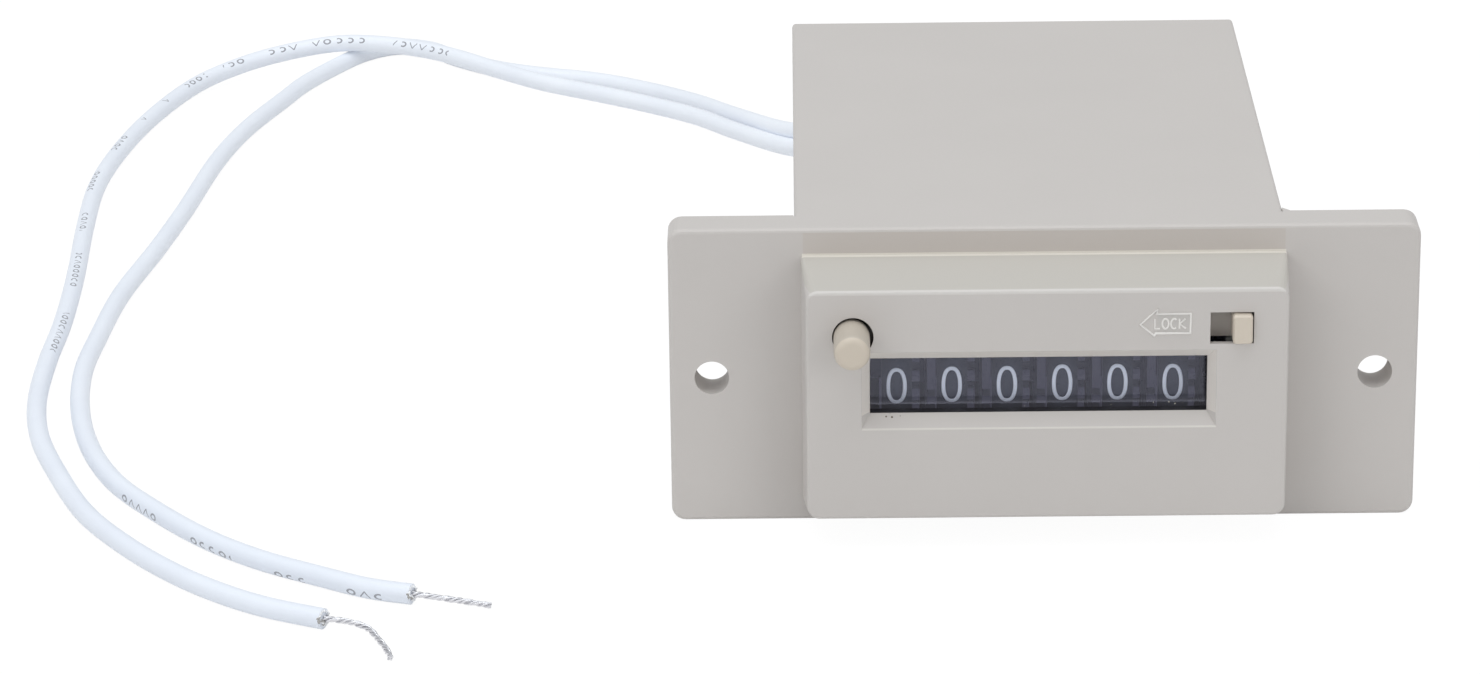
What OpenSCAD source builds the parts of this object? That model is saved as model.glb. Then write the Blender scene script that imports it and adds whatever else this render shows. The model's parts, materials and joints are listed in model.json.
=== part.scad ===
// Electromagnetic pulse counter with six number wheels, for a panel cut-out
// X runs to the right, Y from the front to the back, Z up
// The origin is at the bottom middle of the plane where the flange meets the panel

/* [Flange] */
// Width of the mounting flange
flange_w = 75; // [72:0.5:84]
// Height of the mounting flange and of the rear cover
flange_h = 31.2; // [30.8:0.2:36]
// Thickness of the mounting flange
flange_t = 4.2; // [3.6:0.1:6]
// Radius of the flange's corners
flange_corner_r = 1.4; // [1:0.1:3]
// Rounding of the flange's front edge
flange_edge_r = 0.4; // [0.2:0.1:0.8]
// Diameter of the mounting holes
ear_hole_d = 3.5; // [2.8:0.1:4.2]
// Distance from each mounting hole to the end of the flange
ear_inset = 4.25; // [4:0.05:5]
// How far the mounting holes lie below the middle of the flange
ear_hole_drop = 0.15; // [0:0.05:0.5]
// Thickness of the ears' front skin and outer walls
ear_wall = 1.5; // [1:0.1:2]
// Diameter of the boss behind each mounting hole
ear_boss_d = 7; // [6:0.5:8]

/* [Bezel] */
// Room in the bezel beside the number wheels, for the button and the lock slide
side_room = 5.5; // [5.4:0.1:5.8]
// Thickness of the bezel's side walls where it leaves the flange
bezel_side = 2.25; // [2:0.05:2.6]
// Height of the raised bezel where it leaves the flange
bezel_h = 26.1; // [25.8:0.1:27]
// Height of the bezel's lower edge above the flange's lower edge
bezel_z = 2.3; // [2:0.1:2.8]
// How far the bezel stands proud of the flange
bezel_proud = 8; // [7:0.5:10]
// How far the bezel's sides lean in
bezel_side_lean = 0.45; // [0.3:0.05:0.8]
// How far the bezel's top and bottom lean in
bezel_top_lean = 0.95; // [0.5:0.05:1.1]
// Radius of the corners of the bezel's face
face_corner_r = 1.2; // [0.8:0.1:1.6]
// Rounding of the bezel's front edge
face_edge_r = 0.3; // [0.2:0.05:0.5]
// Thickness of the bezel's front wall
face_wall = 2; // [1.8:0.1:2.2]
// Height of the hollow in the bezel
hollow_h = 21.5; // [21:0.1:22]

/* [Window] */
// How far the window reaches past the number wheels at each end
window_margin = 0.2; // [0:0.1:0.4]
// Height of the window
window_h = 5.8; // [5:0.1:6]
// Depth of the bevel round the window
bevel_depth = 1.2; // [0.8:0.1:1.4]
// Width of the bevel at the ends of the window
bevel_end_w = 0.85; // [0.5:0.05:1.2]
// Width of the bevel above the window
bevel_top_w = 1.05; // [0.6:0.05:1.2]
// Width of the bevel below the window
bevel_low_w = 1.3; // [0.6:0.05:1.4]
// Thickness of the clear lens
lens_t = 1; // [0.8:0.1:1.2]
// How far the lens reaches past the window on each side
lens_lap = 0.4; // [0.3:0.1:0.5]
// Height of the seat that holds the lens behind the front wall
lens_seat = 0.4; // [0.2:0.1:0.5]

/* [Reset button] */
// Diameter of the reset button
button_d = 3.6; // [3:0.1:3.9]
// Diameter of the hole that the reset button stands in
button_hole_d = 4.1; // [4:0.1:4.4]
// How far the reset button stands proud of the bezel
button_proud = 4.8; // [3.2:0.1:5.5]
// Rounding of the button's front edge
button_edge_r = 0.75; // [0.3:0.05:0.9]
// Travel of the reset button
button_travel = 3; // [2:0.1:3.2]
// Diameter of the collar that keeps the button in
collar_d = 4.9; // [4.7:0.1:5.1]
// Thickness of the collar
collar_t = 0.7; // [0.5:0.1:0.7]
// Diameter of the button's stem
stem_d = 1.6; // [1.2:0.1:1.8]

/* [Lock slide] */
// Width of the slot for the lock knob
slot_w = 4.3; // [4:0.1:4.6]
// Height of the slot for the lock knob
slot_h = 3.3; // [3:0.1:3.5]
// Thickness of the front wall round the slot
slot_skin = 0.65; // [0.5:0.05:0.9]
// Width of the lock knob
knob_w = 1.95; // [1.8:0.05:2.1]
// How far the lock knob stands proud of the bezel
knob_proud = 0.8; // [0.3:0.1:1]
// Travel of the lock slide
lock_travel = 2; // [1.6:0.1:2]
// Height of the lock strip behind the bezel's front wall
strip_h = 3.4; // [3:0.1:3.6]
// Thickness of the lock strip
strip_t = 1; // [0.8:0.1:1.1]

/* [Rear cover] */
// Clearance between the mechanism frame and the rear cover on each side
cover_fit = 0.8; // [0.4:0.1:1.2]
// Depth of the rear cover behind the panel plane
cover_l = 64.5; // [63:0.5:70]
// Wall thickness of the rear cover
cover_wall = 1.5; // [1.2:0.1:1.6]
// Radius of the rear cover's edges
cover_edge_r = 0.4; // [0.2:0.1:0.8]
// Depth of the seat in the flange that the rear cover stands in
cover_seat = 0.3; // [0.2:0.1:0.5]

/* [Number wheels] */
// Distance from one number wheel to the next
wheel_pitch = 5.5; // [5.4:0.1:5.8]
// Diameter of the number wheels
wheel_d = 16.8; // [16:0.1:17]
// Thickness of the number rim and of its web
rim_wall = 0.9; // [0.7:0.1:1]
// Diameter of the wheels' hubs
hub_d = 4.4; // [4:0.1:4.6]
// Diameter of the shaft that the number wheels turn on
wheel_shaft_d = 3; // [2.4:0.1:3.2]
// Running clearance on every shaft, measured on the radius
run_clear = 0.03; // [0.02:0.01:0.05]
// Greatest radius of the heart cams
cam_max_r = 3.7; // [3.2:0.1:3.8]
// Least radius of the heart cams
cam_min_r = 2.5; // [2.4:0.1:2.7]

/* [Carry gears] */
// Module of the carry gears
gear_module = 0.65; // [0.64:0.01:0.66]
// Backlash of the carry gears at the pitch circle
backlash = 0.14; // [0.12:0.01:0.18]
// Diameter of the shaft that the carry pinions turn on
pinion_shaft_d = 1; // [0.8:0.1:1]

/* [Reset bail] */
// Thickness of the bail's arms
arm_t = 0.8; // [0.6:0.1:0.9]
// Thickness of the reset hammers
hammer_t = 0.45; // [0.4:0.05:0.5]
// Diameter of the shaft that the bail swings on
bail_shaft_d = 2; // [1.6:0.1:2.2]
// Diameter of the bail's tube
bail_tube_d = 3.8; // [3.4:0.1:3.9]

/* [Mechanism frame] */
// Thickness of the frame's cheeks and floor
cheek_t = 1.2; // [1:0.1:1.2]
// Diameter of the screws that hold the frame
frame_screw_d = 2; // [1.6:0.1:2.2]
// Length of the screws that hold the frame, in the front frame's bosses
frame_screw_l = 6; // [4:0.5:8]

/* [Electromagnet] */
// Diameter of the coil bobbin's flanges
bobbin_d = 19; // [17:0.5:19.4]
// Length of the coil bobbin
bobbin_l = 26.2; // [24:0.2:28]
// Thickness of the bobbin's flanges and tube
bobbin_wall = 1.2; // [0.8:0.1:1.4]
// Outer diameter of the winding
winding_d = 17.2; // [15:0.2:18]
// Diameter of the core
core_d = 7; // [6:0.2:7.4]
// Thickness of the iron yoke
yoke_t = 1.8; // [1.5:0.1:2]
// Width of the iron yoke and armature
yoke_w = 16; // [14:0.5:17]
// Thickness of the armature
armature_t = 1.5; // [1.2:0.1:1.6]
// Angle through which the armature swings
armature_swing = 4.2; // [3:0.1:4.2]

/* [Leads] */
// Diameter of the insulated leads
lead_d = 2.1; // [1.8:0.1:2.1]
// Diameter of the bare strands
bare_d = 0.8; // [0.6:0.1:1]

/* [Hidden] */
$fn = 48;

grey = [0.73, 0.71, 0.69];
cream = [0.80, 0.77, 0.72];
drum_grey = [0.26, 0.27, 0.31];
white_plastic = [0.88, 0.88, 0.85];
steel = [0.66, 0.67, 0.69];
copper = [0.65, 0.33, 0.18];
insulation = [0.88, 0.90, 0.94];
tin = [0.75, 0.75, 0.76];

wheels = 6;
eps = 0.01;
cut = 1;

// Planes of the front, from the panel plane forwards
flange_y = -flange_t;
face_y = flange_y - bezel_proud;
wall_y = face_y + face_wall;
lens_y = wall_y + lens_seat;
hollow_z = 4.5;

// Places of the number wheels
row_x = -0.8;
row_w = wheels * wheel_pitch;
wheel_z = 16;
cell_x = row_x - row_w / 2;
row_end = row_x + row_w / 2;
disc_w = 0.85;
gear_w = 0.8;
cam_w = 0.6;
side_gap = 0.1;
rim_x = side_gap + disc_w + 0.05;
hub_end = wheel_pitch - side_gap / 2;
cam_x = hub_end - cam_w;
gear_x = cam_x - gear_w;
rim_w = gear_x - rim_x;

// Window and bezel, which follow the row of wheels
window_w = row_w + 2 * window_margin;
window_z = 17.05;
hollow_w = row_w + 2 * side_room;
bezel_w = hollow_w + 2 * bezel_side;
ear_hole_x = flange_w / 2 - ear_inset;
ear_hole_z = flange_h / 2 - ear_hole_drop;

// Carry gears, whose pinions lie behind and above the wheels
gear_teeth = 20;
pinion_teeth = 8;
gear_tip_r = gear_module * 10.8;
gear_root_r = gear_module * 8.65;
pinion_tip_r = gear_module * 5;
pinion_root_r = gear_module * 2.9;
pinion_lock_r = gear_module * 4.2;
carry_distance = gear_module * (gear_teeth + pinion_teeth) / 2;
carry_angle = 25;
pinion_y = carry_distance * cos(carry_angle);
pinion_z = wheel_z + carry_distance * sin(carry_angle);
lock_disc_r = carry_distance - pinion_lock_r - 0.1;

// Reset button and lock slide
button_x = cell_x - 1.99;
button_z = 22.55;
button_hole_x = button_x + 0.12;
button_hole_z = button_z + 0.07;
stem_x = button_x - 0.9;
stem_end_y = 9.7;
collar_y = wall_y - collar_t - 0.05;
slot_x = row_end + 0.35;
slot_z = 21.6;
strip_z = slot_z + 0.05;
strip_y = wall_y + 0.1;
strip_left = button_x + collar_d / 2 + 0.35;
strip_right = slot_x + slot_w + 1.2;

// Reset bail
bail_y = 12.5;
bail_z = 5;
bail_swing = atan(button_travel / (button_z - bail_z));
bail_left = cell_x - 1.05;
bail_right = row_end + 2.45;
hammer_x = cam_x + 0.08;
hammer_z = wheel_z - cam_max_r - 0.15;

// Mechanism frame
cheek_left = bail_left - 0.25 - cheek_t;
cheek_right = bail_right + 0.25;
cheek_span = cheek_right + cheek_t - cheek_left;
left_tab_w = 2.75;
right_tab_w = 2.15;
frame_left = cheek_left - left_tab_w;
frame_right = cheek_right + cheek_t + right_tab_w;
floor_z = cover_wall + 0.2;
floor_top = floor_z + cheek_t;
tab_y = 0.8;
boss_x = hollow_w / 2 - 1.4;
boss_z = 6.3;
tab_top = boss_z + 2.3;
guide_y = 2;

// Rear cover, which takes its width from the frame in it
cover_x = (frame_left + frame_right) / 2;
cover_in_w = frame_right - frame_left + 2 * cover_fit;
cover_w = cover_in_w + 2 * cover_wall;
snap_z = 10.5;
snap_len = 9.5;

// Ratchet and pallet fork
ratchet_x = row_end + 0.1;
ratchet_w = 1.1;
ratchet_tip_r = 6;
ratchet_root_r = 4.4;
ratchet_teeth = 10;

// Electromagnet
coil_x = 2;
coil_z = floor_top + yoke_t + 0.8 + bobbin_d / 2;
coil_end_y = cover_l - cover_wall - 7;
coil_y = coil_end_y - bobbin_l;
floor_end_y = coil_end_y + yoke_t + 2.2;
yoke_screw_y = [coil_end_y - 18, coil_end_y - 6];
pole_gap = 1.1;
pole_head_d = core_d + 2.6;
pole_head_t = 1.2;
armature_y = coil_y - pole_head_t - pole_gap - armature_t;
cheek_end_y = armature_y - 2;
hinge_y = armature_y + armature_t / 2;
hinge_z = 5.4;
hinge_r = 1.4;
armature_pin_d = 1.6;
ear_t = 1.5;
ear_foot = 8;
armature_rise = 8;
fork_t = 1;
tenon = 1.5;
tenon_z = 9.5;
fork_low = tenon_z - 1.5;
fork_top = tenon_z + 3.7;
upper_pallet = 7;
lower_pallet = -47;
spring_y = bail_y + 5.5;

// Leads
lead_x = -9.5;
lead_z = [14.1, 16.5];
lead_start_y = coil_end_y + 2.5;
pin_d = 0.9;
lead_sides = 8;

function from_start(points) = [for (p = points) p + [lead_x, lead_start_y, 0]];

// Points that the two leads pass through, from the coil to the stripped ends, seen from where they start
route_1 = from_start([[0, 0, 14.1], [0, 7.5, 14.1], [-0.5, 15.5, 13], [-3.5, 23.5, 10.5], [-9, 31, 8],
    [-15.5, 38, 6], [-22, 47.5, 4.9], [-27, 55.5, 4.2], [-33, 62, 3.7], [-39.5, 67.5, 3.4],
    [-46.5, 72.5, 3.3], [-52.5, 78, 3.3], [-57.5, 83, 3.3], [-62, 86.5, 3.3], [-67.5, 89, 3.3],
    [-73, 89.5, 3.3], [-79, 88, 2.8], [-85, 85, 2], [-90.3, 79, 1.3], [-94.4, 67.2, 1.1], [-97, 54.1, 1.1],
    [-98.3, 40.8, 1.1], [-98, 26.1, 1.1], [-97.1, 9.1, 1.1], [-96.7, -6, 1.1], [-96.9, -18.7, 1.1],
    [-96.5, -30.5, 1.1], [-94.9, -40.9, 1.1], [-91.7, -51.4, 1.1], [-87.6, -62.1, 1.1],
    [-82.5, -70.7, 1.1], [-77.3, -77.5, 1.1], [-72.4, -82.5, 1.1], [-67.3, -86.4, 1.1],
    [-61.3, -89.5, 1.1]]);
route_2 = from_start([[0, 0, 16.5], [0, 7.5, 16.5], [-0.5, 16.5, 15.6], [-4, 25.5, 12.8], [-9.5, 33, 9.8],
    [-15.5, 40.5, 7.2], [-22, 53, 5], [-27, 64, 3.2], [-33.3, 73.5, 1.8], [-40, 79.5, 1.2],
    [-47.5, 82.5, 1.1], [-53, 85.3, 1.1], [-58, 89.5, 1.1], [-61.5, 93.4, 1.1], [-65.9, 94.9, 1.1],
    [-69.8, 92.3, 1.1], [-73.1, 87.1, 1.1], [-76.6, 79.9, 1.1], [-78.7, 73.6, 1.1], [-82.4, 61.8, 1.1],
    [-84.9, 49.2, 1.1], [-86.9, 31.7, 1.1], [-88.8, 17.8, 1.1], [-91.2, 2.8, 1.1], [-92.2, -10.8, 1.1],
    [-92.6, -21.7, 1.1], [-91.5, -33.5, 1.1], [-89.1, -44.4, 1.1], [-85.5, -53.7, 1.1],
    [-80.7, -61.3, 1.1], [-74.8, -68.9, 1.1], [-68.9, -74.5, 1.1], [-62.5, -78.9, 1.1], [-57.5, -82, 1.1],
    [-53.1, -83.6, 1.1]]);
bare_route_1 = from_start([[-61.3, -89.5, 1.1], [-59, -90.5, 0.9], [-56.5, -93, 0.52], [-54.3, -98, 0.43]]);
bare_route_2 = from_start([[-53.1, -83.6, 1.1], [-49.5, -84.9, 0.75], [-45.3, -86.1, 0.43]]);

// General shapes

// Children drawn in Y and Z, extruded along X
module across(x, length) {
    translate([x, 0, 0]) rotate([90, 0, 90]) linear_extrude(length) children();
}

// Children drawn in X and Z, extruded along Y towards the back
module backwards(y, length) {
    translate([0, y + length, 0]) rotate([90, 0, 0]) linear_extrude(length) children();
}

// A plain block from its two opposite corners
module block(low, high) {
    translate(low) cube(high - low);
}

// A rectangle round the middle, with rounded corners
module rounded_rect(w, h, r) {
    steps = 6;
    polygon([for (corner = [0:3], k = [0:steps])
        let (a = 90 * (corner + k / steps), x = corner == 0 || corner == 3 ? 1 : -1, z = corner < 2 ? 1 : -1)
        [x * (w / 2 - r), z * (h / 2 - r)] + at_angle(r, a)]);
}

// A rod along X, drawn as a true cylinder
module rod_x(x, length, d, y, z) {
    translate([x, y, z]) rotate([0, 90, 0]) cylinder(d = d, h = length);
}

// A rod along Y, drawn as a true cylinder
module rod_y(y, length, d, x, z) {
    translate([x, y, z]) rotate([-90, 0, 0]) cylinder(d = d, h = length);
}

function unit(v) = v / norm(v);
function at_angle(r, a) = [r * cos(a), r * sin(a)];

// Involute gear outline
function inv(a) = tan(a) - a * PI / 180;
function tooth_half(pitch_r, teeth, base_r, r) =
    90 / teeth + (inv(20) - inv(acos(min(1, base_r / r)))) * 180 / PI - backlash / (4 * pitch_r) * 180 / PI;
function gear_outline(teeth, tip_r, root_r, phase, steps = 3) =
    let (pitch_r = gear_module * teeth / 2, base_r = pitch_r * cos(20), low_r = max(base_r, root_r))
    [for (k = [0:teeth - 1])
        let (middle = phase + 360 * k / teeth, foot = tooth_half(pitch_r, teeth, base_r, low_r))
        each concat(
            [at_angle(root_r, middle - foot)],
            [for (i = [0:steps]) let (r = low_r + (tip_r - low_r) * i / steps)
                at_angle(r, middle - tooth_half(pitch_r, teeth, base_r, r))],
            [for (i = [steps:-1:0]) let (r = low_r + (tip_r - low_r) * i / steps)
                at_angle(r, middle + tooth_half(pitch_r, teeth, base_r, r))],
            [at_angle(root_r, middle + foot)])];

// A smooth line through the points of a route, with one more point between each two
function spline(p) = let (n = len(p)) concat(
    [for (i = [0:n - 2]) let (a = p[max(i - 1, 0)], b = p[i], c = p[i + 1], d = p[min(i + 2, n - 1)])
        each [b, (9 * (b + c) - a - d) / 16]], [p[n - 1]]);
function along(p, i) = unit(p[min(i + 1, len(p) - 1)] - p[max(i - 1, 0)]);

// A closed tube swept along a line of points
module tube(line, d) {
    rings = len(line);
    points = [for (i = [0:rings - 1])
        let (t = along(line, i), side = unit(cross(t, [0, 0, 1])), up = cross(side, t))
        for (k = [0:lead_sides - 1])
            let (a = 360 * (k + 0.5) / lead_sides) line[i] + d / 2 * (cos(a) * side + sin(a) * up)];
    walls = [for (i = [0:rings - 2], k = [0:lead_sides - 1])
        let (a = i * lead_sides + k, b = i * lead_sides + (k + 1) % lead_sides)
        [a, b, b + lead_sides, a + lead_sides]];
    first = [for (k = [lead_sides - 1:-1:0]) k];
    last = [for (k = [0:lead_sides - 1]) (rings - 1) * lead_sides + k];
    polyhedron(points, concat(walls, [first, last]));
}

// A coil spring that stands on the origin and rises along Z
module coil_spring(coil_d, wire_d, length, turns) {
    steps = 12;
    sides = 6;
    rings = turns * steps + 1;
    points = [for (i = [0:rings - 1])
        let (a = 360 * i / steps, out = [cos(a), sin(a), 0])
        for (k = [0:sides - 1])
            let (b = 360 * k / sides)
            out * (coil_d / 2 + wire_d / 2 * cos(b))
                + [0, 0, wire_d / 2 + (length - wire_d) * i / (rings - 1) + wire_d / 2 * sin(b)]];
    walls = [for (i = [0:rings - 2], k = [0:sides - 1])
        let (a = i * sides + k, b = i * sides + (k + 1) % sides) [a, a + sides, b + sides, b]];
    first = [for (k = [0:sides - 1]) k];
    last = [for (k = [sides - 1:-1:0]) (rings - 1) * sides + k];
    polyhedron(points, concat(walls, [first, last]));
}

// Front frame: the flange and the bezel, moulded as one

// Rings of a rounded front edge, each with how far it lies in and how far it rises
edge_rings = [for (a = [0, 30, 60, 90]) [1 - cos(a), sin(a)]];

module flange_plate() {
    base = flange_t - flange_edge_r;
    translate([0, 0, flange_h / 2]) rotate([90, 0, 0]) hull() for (ring = edge_rings) {
        in = flange_edge_r * ring[0];
        linear_extrude(base + flange_edge_r * ring[1])
            rounded_rect(flange_w - 2 * in, flange_h - 2 * in, flange_corner_r - in);
    }
}

module bezel_block() {
    face_w = bezel_w - 2 * bezel_side_lean;
    face_h = bezel_h - 2 * bezel_top_lean;
    base = bezel_proud + cut - face_edge_r;
    translate([0, flange_y + cut, bezel_z + bezel_h / 2]) rotate([90, 0, 0]) hull() {
        linear_extrude(cut) rounded_rect(bezel_w, bezel_h, face_edge_r);
        for (ring = edge_rings) {
            in = face_edge_r * ring[0];
            translate([0, 0, base + face_edge_r * ring[1] - eps]) linear_extrude(eps)
                rounded_rect(face_w - 2 * in, face_h - 2 * in, face_corner_r - in);
        }
    }
}

// The bevelled window, cut through the front wall
module window_cut() {
    reach = 1 + cut / bevel_depth;
    half_w = window_w / 2;
    half_h = window_h / 2;
    end = half_w + bevel_end_w * reach;
    top = half_h + bevel_top_w * reach;
    low = half_h + bevel_low_w * reach;
    translate([row_x, face_y, window_z]) {
        block([-half_w, -cut, -half_h], [half_w, face_wall + lens_seat + cut, half_h]);
        intersection() {
            across(-end, 2 * end)
                polygon([[-cut, -low], [-cut, top], [bevel_depth, half_h], [bevel_depth, -half_h]]);
            linear_extrude(2 * max(low, top), center = true)
                polygon([[-end, -cut], [end, -cut], [half_w, bevel_depth], [-half_w, bevel_depth]]);
        }
    }
}

// A pocket behind one ear, with a boss left round the mounting hole
module ear_pocket(side) {
    inner = bezel_w / 2 + ear_wall;
    outer = flange_w / 2 - ear_wall;
    backwards(flange_y + ear_wall, flange_t) difference() {
        translate([side * (inner + outer) / 2, flange_h / 2])
            square([outer - inner, flange_h - 2 * ear_wall], center = true);
        translate([side * ear_hole_x, ear_hole_z]) circle(d = ear_boss_d);
    }
}

// Snap tongue that holds the rear cover
module cover_snap(side) {
    inside = cover_x + side * (cover_in_w / 2 - 0.1);
    thick = 1.2;
    bump = cover_wall - 0.1;
    low = [min(inside, inside - side * thick), -3.5, snap_z - 1];
    block(low, [low[0] + thick, 9, snap_z + snap_len + 1]);
    linear_extrude_z(snap_z, snap_len) polygon([[inside, 5.6], [inside + side * bump, 7.4],
        [inside + side * bump, 8.4], [inside, 8.4]]);
}

module linear_extrude_z(z, length) {
    translate([0, 0, z]) linear_extrude(length) children();
}

module front_frame() {
    color(grey) difference() {
        union() {
            difference() {
                union() {
                    flange_plate();
                    bezel_block();
                }
                block([-hollow_w / 2, wall_y, hollow_z], [hollow_w / 2, cut, hollow_z + hollow_h]);
                block([cover_x - cover_w / 2 - 0.05, -cover_seat, -cut],
                    [cover_x + cover_w / 2 + 0.05, cut, flange_h + cut]);
            }
            for (side = [-1, 1]) {
                rod_y(wall_y - eps, tab_y - wall_y + eps, frame_screw_d + 1.8, side * boss_x, boss_z);
                cover_snap(side);
            }
            side_fillet();
            translate([row_x, 0, window_z]) block([-window_w / 2 - lens_lap, wall_y - eps, -window_h / 2 - lens_lap],
                [window_w / 2 + lens_lap, lens_y, window_h / 2 + lens_lap]);
            strip_guides();
        }
        for (side = [-1, 1]) {
            rod_y(flange_y - cut, flange_t + 2 * cut, ear_hole_d, side * ear_hole_x, ear_hole_z);
            ear_pocket(side);
            rod_y(wall_y + 1, tab_y, frame_screw_d - 0.4, side * boss_x, boss_z);
            rod_y(wall_y + 1, -wall_y, frame_screw_d - 0.4, side * boss_x, boss_z);
        }
        window_cut();
        rod_y(face_y - cut, face_wall + 2 * cut, button_hole_d, button_hole_x, button_hole_z);
        rod_y(wall_y - collar_t - 0.15, collar_t + 0.15 + cut, collar_d + 0.3, button_x, button_z);
        block([slot_x, face_y - cut, slot_z], [slot_x + slot_w, wall_y + cut, slot_z + slot_h]);
        block([slot_x - 0.3, face_y + slot_skin, slot_z - 0.6],
            [slot_x + slot_w + 0.3, wall_y + cut, slot_z + slot_h + 0.3]);
    }
}

// Fillet between the flange's back and the side of the rear cover
module side_fillet() {
    x = cover_x + cover_w / 2;
    linear_extrude_z(tab_top, flange_h - tab_top - 0.1) polygon([[x, -eps], [x + 1.1, -eps], [x, 1.2]]);
}

// Rail and clips behind the front wall, which the lock strip slides between
module strip_guides() {
    rail_y = strip_y + strip_t + 0.1;
    block([strip_left + lock_travel, wall_y - eps, strip_z - 0.65],
        [slot_x - 0.6, rail_y + 0.6, strip_z - 0.1]);
    for (x = [-8, 8]) {
        block([x, wall_y - eps, strip_z + strip_h + 0.1], [x + 3, rail_y + 0.6, hollow_z + hollow_h + eps]);
        block([x, rail_y, strip_z + strip_h - 0.5], [x + 3, rail_y + 0.6, strip_z + strip_h + 0.1 + eps]);
    }
}

module rear_cover() {
    half = cover_in_w / 2;
    color(grey) difference() {
        translate([cover_x, 0, flange_h / 2]) intersection() {
            backwards(-cover_seat, cover_l + cover_seat) rounded_rect(cover_w, flange_h, cover_edge_r);
            linear_extrude(flange_h, center = true) union() {
                translate([0, cover_l / 2]) rounded_rect(cover_w, cover_l, cover_edge_r);
                translate([-cover_w / 2, -cover_seat]) square([cover_w, cover_l / 2]);
            }
        }
        block([cover_x - half, -cut, cover_wall],
            [cover_x + half, cover_l - cover_wall, flange_h - cover_wall]);
        for (side = [-1, 1]) translate([cover_x + side * (half + cover_wall / 2), 7, snap_z + snap_len / 2])
            cube([cover_wall + cut, 3, snap_len + 0.4], center = true);
        backwards(cover_l - cover_wall - cut, cover_wall + 2 * cut) lead_slot();
    }
}

module lead_slot() {
    d = lead_d + 0.3;
    for (z = lead_z) translate([lead_x, z]) circle(d = d);
    translate([lead_x - d / 2, lead_z[0]]) square([d, lead_z[1] - lead_z[0]]);
}

module window_lens() {
    half_w = window_w / 2 + lens_lap;
    half_h = window_h / 2 + lens_lap;
    color([0.9, 0.93, 0.95, 0.3]) translate([row_x, 0, window_z])
        block([-half_w, lens_y, -half_h], [half_w, lens_y + lens_t, half_h]);
}

// Controls

module reset_button() {
    r = button_d / 2;
    e = button_edge_r;
    front_y = face_y - button_proud;
    color(cream) {
        translate([button_x, 0, button_z]) rotate([-90, 0, 0]) rotate_extrude() {
            translate([0, front_y + e]) square([r, collar_y - front_y - e + eps]);
            translate([0, front_y]) square([r - e, e + eps]);
            translate([r - e, front_y + e]) circle(e);
            translate([0, collar_y]) square([collar_d / 2, collar_t]);
        }
        rod_y(collar_y + eps, stem_end_y - collar_y - eps, stem_d, stem_x, button_z);
    }
}

module reset_spring() {
    y = collar_y + collar_t;
    color(steel) translate([stem_x, y, button_z]) rotate([-90, 0, 0])
        coil_spring(stem_d + 0.7, 0.35, guide_y - y, 9);
}

module lock_slide() {
    gap = 0.15;
    edge = 0.3;
    h = slot_h - 2 * gap;
    color(cream) {
        block([strip_left, strip_y, strip_z], [strip_right, strip_y + strip_t, strip_z + strip_h]);
        translate([slot_x + slot_w - gap - knob_w / 2, face_y - knob_proud, slot_z + gap + h / 2]) hull() {
            backwards(edge, strip_y + eps - face_y + knob_proud - edge) rounded_rect(knob_w, h, edge);
            backwards(0, eps) rounded_rect(knob_w - edge, h - edge, edge);
        }
    }
}

// Mechanism frame: one moulding with two cheeks and a floor

module cheek() {
    front = -wheel_shaft_d / 2 - 1.9;
    top = wheel_z + 4.2;
    foot = tab_y + cheek_t + 1.6;
    polygon([[foot, floor_z], [foot, tab_top + 0.3], [front, tab_top + 0.3], [front, top - 1.2], [front + 1.2, top],
        [bail_y - 3.9, top], [bail_y - 0.5, top - 3.2], [cheek_end_y - 2, tab_top], [cheek_end_y, floor_top],
        [cheek_end_y, floor_z]]);
}

module mechanism_frame() {
    low = floor_z - cut;
    high = floor_top + cut;
    color(white_plastic) difference() {
        union() {
            across(cheek_left, cheek_t) cheek();
            across(cheek_right, cheek_t) cheek();
            block([frame_left, tab_y, floor_z], [frame_right, floor_end_y, floor_top]);
            block([frame_left, tab_y, floor_z], [cheek_left + cheek_t, tab_y + cheek_t, tab_top]);
            block([cheek_right, tab_y, floor_z], [frame_right, tab_y + cheek_t, tab_top]);
            block([cheek_left - 2.2, guide_y, button_z - 5.55],
                [cheek_left + eps, guide_y + cheek_t, button_z + 2.05]);
            translate([ratchet_x + ratchet_w / 2, spring_y, floor_top - eps]) cylinder(d = 1.2, h = 1.4);
        }
        rod_x(cheek_left - cut, cheek_span + 2 * cut, wheel_shaft_d, 0, wheel_z);
        rod_x(cheek_left - cut, cheek_span + 2 * cut, bail_shaft_d, bail_y, bail_z);
        rod_y(guide_y - cut, cheek_t + 2 * cut, stem_d + 2 * run_clear, stem_x, button_z);
        for (side = [-1, 1])
            rod_y(tab_y - cut, cheek_t + 2 * cut, frame_screw_d, side * boss_x, boss_z);
        for (y = yoke_screw_y)
            translate([coil_x, y, low]) cylinder(d = frame_screw_d, h = high - low);
        block([lead_x - 4.5, coil_y - 2.8, low], [coil_x - yoke_w / 2 - 1, coil_end_y - 1, high]);
        block([coil_x + yoke_w / 2 + 2, coil_y - 2.8, low], [cheek_right - 0.9, coil_end_y - 1, high]);
    }
}

module frame_screws() {
    head_y = tab_y + cheek_t;
    color(steel) for (x = [-boss_x, boss_x]) {
        rod_y(tab_y - frame_screw_l, frame_screw_l + cheek_t + eps, frame_screw_d - 0.4, x, boss_z);
        difference() {
            rod_y(head_y, 1.2, frame_screw_d + 1, x, boss_z);
            block([x - 0.2, head_y + 0.7, boss_z - frame_screw_d],
                [x + 0.2, head_y + 1.2 + cut, boss_z + frame_screw_d]);
        }
    }
}

// Number wheels

module wheel_shaft() {
    color(steel) rod_x(cheek_left, cheek_span, wheel_shaft_d, 0, wheel_z);
}

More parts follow.
